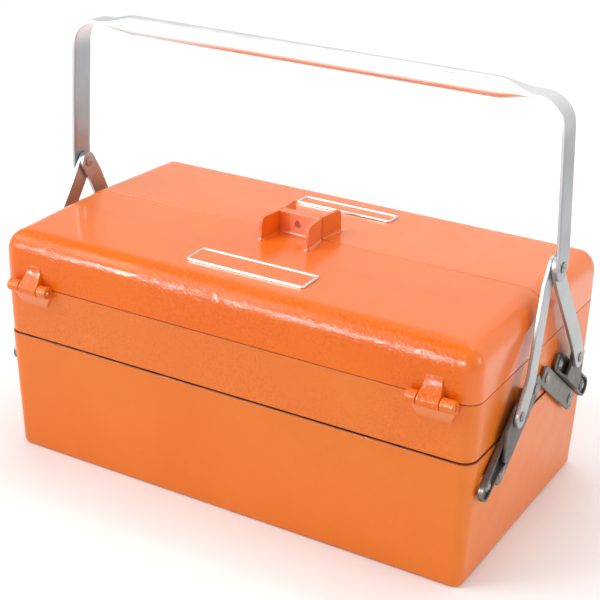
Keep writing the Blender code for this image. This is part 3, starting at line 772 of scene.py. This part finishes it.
def make_crank_link(word, q, s, side):
    to = link_map(CRANK_LOW, q)
    x0, x1 = LINK_X
    name = f"crank_link_{word}_{side}"
    obj = prism(name + "_channel", [to(u, v) for u, v in outline(-12.2, LINK_LEN + 9.5, -CRANK_HALF, CRANK_HALF, (6.0, 7.9, 7.9, 6.0), (8, 10, 10, 8))], s * x0, s * x1)
    bake(bevel(obj, 0.5, 3, 50))
    outer = prism("flange", [to(u, v) for u, v in outline(-4.0, LINK_LEN + 5.5, 6.1, 8.15, (0.4,) * 4, (2,) * 4)], s * (x0 + 0.4), s * 220.6)
    loops = []
    for u, h in ((-4.0, 220.2), (-2.0, 220.25), (2.0, 220.3), (14.0, 220.9), (20.0, 222.0), (27.0, 223.3), (62.0, 223.3), (68.0, 221.6), (LINK_LEN + 4.0, 220.3), (LINK_LEN + 5.5, 219.2)):
        loops.append([(s * (x0 + 0.5), *to(u, -8.15)), (s * (x0 + 0.5), *to(u, -6.0)), (s * h, *to(u, -6.0)), (s * h, *to(u, -8.15))])
    inner = raw_mesh("inner_flange", *loft(loops))
    ey, ez = EAR_PIVOT
    low_in, low_out = to(62.0, -8.1), to(24.0, -8.1)
    ear = [(q * abs(low_in[0]), low_in[1]), (q * abs(low_out[0]), low_out[1]), (q * 78.5, 95.0), (q * 78.6, 98.0), (q * 78.2, 116.5), (q * 77.6, 119.6), (q * 76.0, 122.2), (q * 73.6, 123.7)]
    ear += [(q * (ey + 9.0 * math.cos(math.radians(a))), ez + 9.0 * math.sin(math.radians(a))) for a in range(12, 172, 10)]
    ear += [(q * (ey - 9.6), ez - 5.0)]
    plate = prism("ear", ear, s * EAR_X[0], s * EAR_X[1])
    rim = [(-4.0 + 8.15 * math.cos(math.radians(a)), 8.15 * math.sin(math.radians(a))) for a in range(90, 271, 9)]
    rim = [(-4.0 + 8.15, 8.15)] + rim + [(-4.0 + 8.15, -8.15)]
    rim += [(-4.0 + 8.15, -6.1)] + [(-4.0 + 6.1 * math.cos(math.radians(a)), 6.1 * math.sin(math.radians(a))) for a in range(270, 89, -9)] + [(-4.0 + 8.15, 6.1)]
    cap = prism("end_rim", [to(u, v) for u, v in rim], s * (x0 + 0.4), s * 220.2)
    for part in (outer, inner, plate, cap):
        bake(bevel(part, 0.45, 2, 50))
    combine(obj, [outer, inner, plate, cap], "UNION")
    up = link_up(CRANK_LOW)
    cuts = [cyl("hole", q * y, z, HOLE_R, s * 214.0, s * 222.5, 24) for y, z in (CRANK_LOW, up)]
    cuts.append(cyl("hole", q * ey, ez, HOLE_R, s * 219.5, s * 226.0, 24))
    combine(obj, cuts, "DIFFERENCE")
    place(obj, zinc, name, [name], 40)


def smooth(t):
    t = min(max(t, 0.0), 1.0)
    return t * t * (3 - 2 * t)


def make_strap(word, q, s, side):
    top_x = LAYER_IN if (q == -1) == (s == 1) else LAYER_MID
    ey, ez = q * EAR_PIVOT[0], EAR_PIVOT[1]
    length = math.hypot(ey, PIVOT_Z - ez)
    dy, dz = ey / length, (ez - PIVOT_Z) / length
    ny, nz = -dz, dy
    def inner_x(t):
        """Flat at both ends, one long even slope between, with soft bends where they meet."""
        a, b, soft = 15.0, 90.0, 3.0
        def ease(u):
            return 0.0 if u <= -soft else (u if u >= soft else (u + soft) ** 2 / (4 * soft))
        run = ease(t - a - soft) - ease(t - b + soft)
        return top_x + (STRAP_LOW_X - top_x) * run / (b - a - 2 * soft)
    stations = [(-STRAP_END * math.cos(math.radians(a)), STRAP_HALF * math.sin(math.radians(a))) for a in range(6, 90, 12)]
    stations += [(t, STRAP_HALF) for t in (0.0, 8.0, 15.0, 16.5, 18.0, 19.5, 21.0, 34.0, 50.0, 66.0, 80.0, 84.0, 85.5, 87.0, 88.5, 90.0, 97.0, 105.0, length)]
    stations += [(length + STRAP_END * math.cos(math.radians(a)), STRAP_HALF * math.sin(math.radians(a))) for a in range(84, 0, -12)]
    loops = []
    e = 0.55
    for t, w in stations:
        x = inner_x(t)
        ring = []
        for dx, dw in ((0, -e), (e * 0.3, -e * 0.3), (e, 0), (STRAP_T - e, 0), (STRAP_T - e * 0.3, -e * 0.3), (STRAP_T, -e)):
            ring.append((dx, w + dw))
        side_a = [(s * (x + dx), dy * t + ny * v, PIVOT_Z + dz * t + nz * v) for dx, v in ring]
        side_b = [(s * (x + dx), dy * t - ny * v, PIVOT_Z + dz * t - nz * v) for dx, v in reversed(ring)]
        loops.append(side_a + side_b)
    name = f"strap_{word}_{side}"
    obj = raw_mesh(name + "_bar", *loft(loops))
    cuts = [cyl("hole", 0.0, PIVOT_Z, HOLE_R, s * (top_x - 2), s * (top_x + STRAP_T + 2), 24), cyl("hole", ey, ez, HOLE_R, s * (STRAP_LOW_X - 2), s * (STRAP_LOW_X + STRAP_T + 2), 24)]
    combine(obj, cuts, "DIFFERENCE")
    place(obj, alu_strap[q], name, [name], 40)


def head(x, r, h):
    """Washer-like flange, a groove, and the rolled tube end with its hollow middle."""
    return [(x, r - 0.25), (x + 0.15, r), (x + 0.45, r), (x + 0.62, r - 0.2), (x + 0.66, r * 0.80), (x + 0.30, r * 0.76), (x + 0.28, r * 0.66), (x + 0.72 * h, r * 0.62), (x + 0.93 * h, r * 0.54), (x + h, r * 0.44), (x + 0.94 * h, r * 0.34), (x + 0.55 * h, r * 0.27), (x + 0.42 * h, r * 0.16), (x + 0.40 * h, 0)]


def make_rivet(name, body, tail_x, grip_in, grip_out, cy, cz, s, r=4.3, h=1.8):
    prof = [(tail_x, 0), (tail_x, r - 0.7), (tail_x + 0.3, r - 0.3), (grip_in, r - 0.3), (grip_in, RIVET_R), (grip_out, RIVET_R)] + head(grip_out, r, h)
    place(lathe(name + "_turned", prof, cy, cz, s, 32), rivet_mat, body, [name], 50)


def make_hardware():
    base_k = BASE_DRAFT / BASE_TOP
    tray_k = TRAY_DRAFT / (TRAY_TOP - TRAY_BOTTOM)
    for s, side in ((1, "right"), (-1, "left")):
        for q, word in ((-1, "front"), (1, "rear")):
            make_plain_link(word, q, s, side)
            make_crank_link(word, q, s, side)
            make_strap(word, q, s, side)
            for kind, low in (("crank", CRANK_LOW), ("plain", PLAIN_LOW)):
                base_in = HALF_L - 0.4 - (BASE_TOP - low[1]) * base_k - BASE_WALL - 0.3
                make_rivet(f"{kind}_base_rivet_{word}_{side}", "base", base_in - 1.6, base_in, LINK_X[1] + 0.25, q * low[0], low[1], s)
                up = link_up(low)
                tray_in = HALF_L - (TRAY_TOP - up[1]) * tray_k - TRAY_WALL - 0.3
                make_rivet(f"{kind}_tray_rivet_{word}_{side}", word + "_tray", tray_in - 1.6, tray_in, LINK_X[1] + 0.25, q * up[0], up[1], s, 4.3, 1.45)
            out = STRAP_LOW_X + STRAP_T + 0.2
            prof = [(STRAP_LOW_X + 0.1, 0), (STRAP_LOW_X + 0.1, RIVET_R), (out, RIVET_R)] + head(out, 4.2, 1.65)
            name = f"strap_rivet_{word}_{side}"
            place(lathe(name + "_turned", prof, q * EAR_PIVOT[0], EAR_PIVOT[1], s, 32), rivet_mat, f"strap_{word}_{side}", [name], 50)
        make_rivet(f"handle_pivot_{side}", "handle_pivots", LAYER_IN - 1.1, LAYER_IN - 0.3, LEG_X + LEG_T + 0.2, 0.0, PIVOT_Z, s, 4.4, 1.65)


# ---------------------------------------------------------------- handle

def section(w, t, k, n=48):
    """Flat bar with full edges at k = 0, round tube at k = 1."""
    pts = []
    for i in range(n):
        a = 2 * math.pi * (i + 0.5) / n
        c, d = math.cos(a), math.sin(a)
        p = 0.30 + 0.70 * k
        flat = (math.copysign(abs(c) ** p, c) * w, math.copysign(abs(d) ** p, d) * t)
        pts.append((flat[0] * (1 - k) + c * GRIP_R * k, flat[1] * (1 - k) + d * GRIP_R * k))
    return pts


def make_handle():
    lean = math.atan2(4.9, 93.0)
    foot_x = LEG_X + 0.5 * LEG_T
    stations = []
    for a in range(8, 90, 12):
        r = math.radians(a)
        stations.append((foot_x, PIVOT_Z - LEG_HALF * math.cos(r), 90.0, 0.0, LEG_HALF * math.sin(r)))
    for z in (0.0, 5.0, 9.0):
        stations.append((foot_x, PIVOT_Z + z, 90.0, 0.0, LEG_HALF))
    corner_z = GRIP_Z - BEND_R
    z0 = PIVOT_Z + 16.0
    top_x = foot_x - (corner_z - z0) * math.tan(lean)
    for i in range(5):
        t = i / 4
        z = PIVOT_Z + 11.0 + 10.0 * t
        stations.append((foot_x - max(0.0, z - z0) * math.tan(lean) * smooth(t) - 0.05 * t, z, 90.0 + math.degrees(lean) * smooth(t), 0.0, LEG_HALF))
    for t in (0.35, 0.7, 1.0):
        z = z0 + 5 + (corner_z - z0 - 5) * t
        stations.append((foot_x - (z - z0) * math.tan(lean), z, 90.0 + math.degrees(lean), 0.0, LEG_HALF))
    cx = top_x - BEND_R
    for a in range(8, 91, 7):
        r = math.radians(a)
        stations.append((cx + BEND_R * math.cos(r), corner_z + BEND_R * math.sin(r), 90.0 + a, 0.0, LEG_HALF))
    start = cx - 1.0
    for i in range(1, 22):
        t = i / 21
        k = smooth(t) if t < 1 else 1.0
        stations.append((start - 34.0 * t, GRIP_Z, 180.0, k, LEG_HALF))
    for x in (130.0, 90.0, 45.0, 0.0):
        stations.append((x, GRIP_Z, 180.0, 1.0, LEG_HALF))
    loops = []
    for x, z, ang, k, w in stations:
        a = math.radians(ang)
        nx, nz = -math.sin(a), math.cos(a)
        loops.append([(x + nx * v, y, z + nz * v) for y, v in section(w, 0.5 * LEG_T, k)])
    left = [[(-x, y, z) for x, y, z in loop] for loop in reversed(loops[:-1])]
    obj = raw_mesh("handle_tube", *loft(loops + left))
    cuts = [cyl("hole", 0, PIVOT_Z, HOLE_R, s * 220.0, s * 229.0, 24) for s in (1, -1)]
    combine(obj, cuts, "DIFFERENCE")
    place(obj, alu_handle, "handle", ["handle"], 55)


def make_badge(word):
    """Blank plate: a bright raised rim round a painted field."""
    lo, hi = size(word + "_badge")
    slope = LID_CROWN / HALF_W
    def top(y):
        return LID_EDGE_TOP + LID_CROWN - slope * abs(y) + 0.3
    x0, x1, y0, y1 = lo[0], hi[0], lo[1], hi[1]
    loops = []
    for inset, h in ((0, 0.0), (0, 0.9), (0.15, 1.25), (0.45, 1.4), (1.9, 1.4), (2.2, 1.25), (2.3, 0.8)):
        pts = outline(x0 + inset, x1 - inset, y0 + inset, y1 - inset, (3.6 - inset,) * 4, (8,) * 4)
        loops.append([(x, y, top(y) + h) for x, y in pts])
    obj = raw_mesh(word + "_badge_plate", *loft(loops))
    place(obj, badge_mat, word + "_lid", [word + "_badge"], 40)
    obj.data.materials.append(paint_lid[-1 if word == "front" else 1])
    for poly in obj.data.polygons:
        c = poly.center * 1000
        if x0 + 2.5 < c.x < x1 - 2.5 and y0 + 2.5 < c.y < y1 - 2.5 and poly.normal.z > 0.9 and len(poly.vertices) > 8:
            poly.material_index = 1


make_base()
for word, rear in (("front", False), ("rear", True)):
    make_tray(word, rear)
    make_lid(word, rear)
    make_badge(word)
make_hardware()
make_handle()


# ---------------------------------------------------------------- stage, light, camera

def floor():
    """Pale sweep that curves up behind the box."""
    loops = []
    xs = 6.0
    pts = [(-3.0, -0.0004), (2.2, -0.0004)]
    for i in range(1, 13):
        a = math.radians(90 * i / 12)
        pts.append((2.2 + 1.6 * math.sin(a), -0.0004 + 1.6 - 1.6 * math.cos(a)))
    pts.append((3.8, 4.5))
    verts = [(-xs, y, z) for y, z in pts] + [(xs, y, z) for y, z in pts]
    n = len(pts)
    faces = [(i, n + i, n + i + 1, i + 1) for i in range(n - 1)]
    mesh = bpy.data.meshes.new("floor")
    mesh.from_pydata(verts, [], faces)
    mesh.shade_smooth()
    obj = bpy.data.objects.new("floor", mesh)
    bpy.context.scene.collection.objects.link(obj)
    n_ = Nodes("floor_paper")
    tone = n_.mix(n_.span(n_.noise(3.0, 2.0), 0.3, 0.7), (0.93, 0.93, 0.93), (0.96, 0.96, 0.96))
    n_.link(tone, n_.shader.inputs["Base Color"])
    n_.shader.inputs["Roughness"].default_value = 0.85
    mesh.materials.append(n_.mat)


def area(name, loc, target, w, h, power, colour=(1, 1, 1)):
    data = bpy.data.lights.new(name, "AREA")
    data.shape = "RECTANGLE"
    data.size, data.size_y = w, h
    data.energy = power
    data.color = colour
    obj = bpy.data.objects.new(name, data)
    bpy.context.scene.collection.objects.link(obj)
    obj.location = loc
    obj.rotation_mode = "QUATERNION"
    obj.rotation_quaternion = (Vector(target) - Vector(loc)).to_track_quat("-Z", "Y")
    return obj


floor()
area("key", (-1.45, -1.2, 1.9), (-0.1, 0, 0.15), 1.3, 1.0, 26)
area("top", (0.1, 0.4, 2.3), (0, 0, 0.1), 1.6, 1.2, 13)
area("side", (2.3, 0.1, 1.1), (0.1, 0, 0.15), 0.9, 0.9, 9)
area("backdrop", (0.0, 0.7, 2.6), (0.0, 3.8, 0.9), 3.0, 0.9, 30)
strip = area("strip", (-0.78, -1.75, 0.74), (0.05, -0.1, 0.19), 1.35, 0.030, 62)
strip.visible_diffuse = False

world = bpy.data.worlds.new("studio")
bpy.context.scene.world = world
world.use_nodes = True
world.node_tree.nodes["Background"].inputs["Color"].default_value = (1.0, 1.0, 1.0, 1.0)
world.node_tree.nodes["Background"].inputs["Strength"].default_value = 0.60

camera_data = bpy.data.cameras.new("camera")
camera = bpy.data.objects.new("camera", camera_data)
bpy.context.scene.collection.objects.link(camera)
camera_data.sensor_width = 36.0
camera_data.lens = 87.32
camera_data.clip_start, camera_data.clip_end = 0.05, 30.0
az, el, roll = math.radians(29.9025), math.radians(23.6824), math.radians(1.4133)
back = Vector((math.sin(az) * math.cos(el), -math.cos(az) * math.cos(el), math.sin(el)))
right = Vector((math.cos(az), math.sin(az), 0.0))
up = back.cross(right)
cam_x = right * math.cos(roll) + up * math.sin(roll)
cam_y = up * math.cos(roll) - right * math.sin(roll)
place_at = Vector((1.255, 0.0, 143.38)) * MM + back * 1214.73 * MM
camera.matrix_world = Matrix(((cam_x.x, cam_y.x, back.x, place_at.x), (cam_x.y, cam_y.y, back.y, place_at.y), (cam_x.z, cam_y.z, back.z, place_at.z), (0, 0, 0, 1)))
bpy.context.scene.camera = camera
bpy.context.scene.view_settings.view_transform = "Standard"
bpy.context.scene.view_settings.look = "None"
